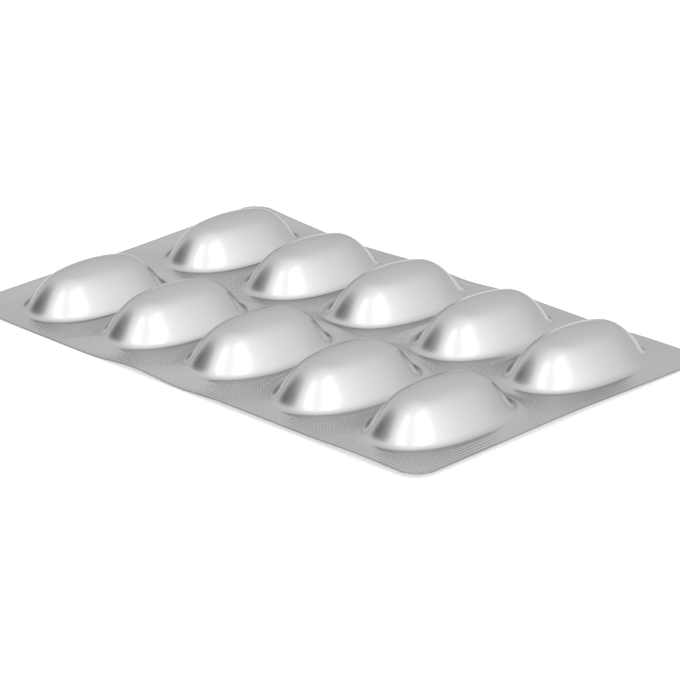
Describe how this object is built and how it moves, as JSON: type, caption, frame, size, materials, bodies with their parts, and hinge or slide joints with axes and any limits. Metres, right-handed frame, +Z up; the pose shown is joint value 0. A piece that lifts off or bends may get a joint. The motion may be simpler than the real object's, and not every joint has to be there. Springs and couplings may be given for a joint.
{
  "type": "foil blister strip",
  "caption": "Sealed foil blister strip: a thin wavy sheet with rounded corners and two rows of obround pockets pressed up out of it, each holding a tablet",
  "frame": {"origin": "under the middle of the strip, on the surface it lies on", "axes": "+X along the strip's long side, +Y across it along the pockets, +Z up out of the pockets' side"},
  "size_m": [0.1022, 0.0668, 0.0077],
  "materials": {
    "foil": "satin"
  },
  "bodies": {
    "root": {"blister_pack": "foil"}
  },
  "joints": []
}
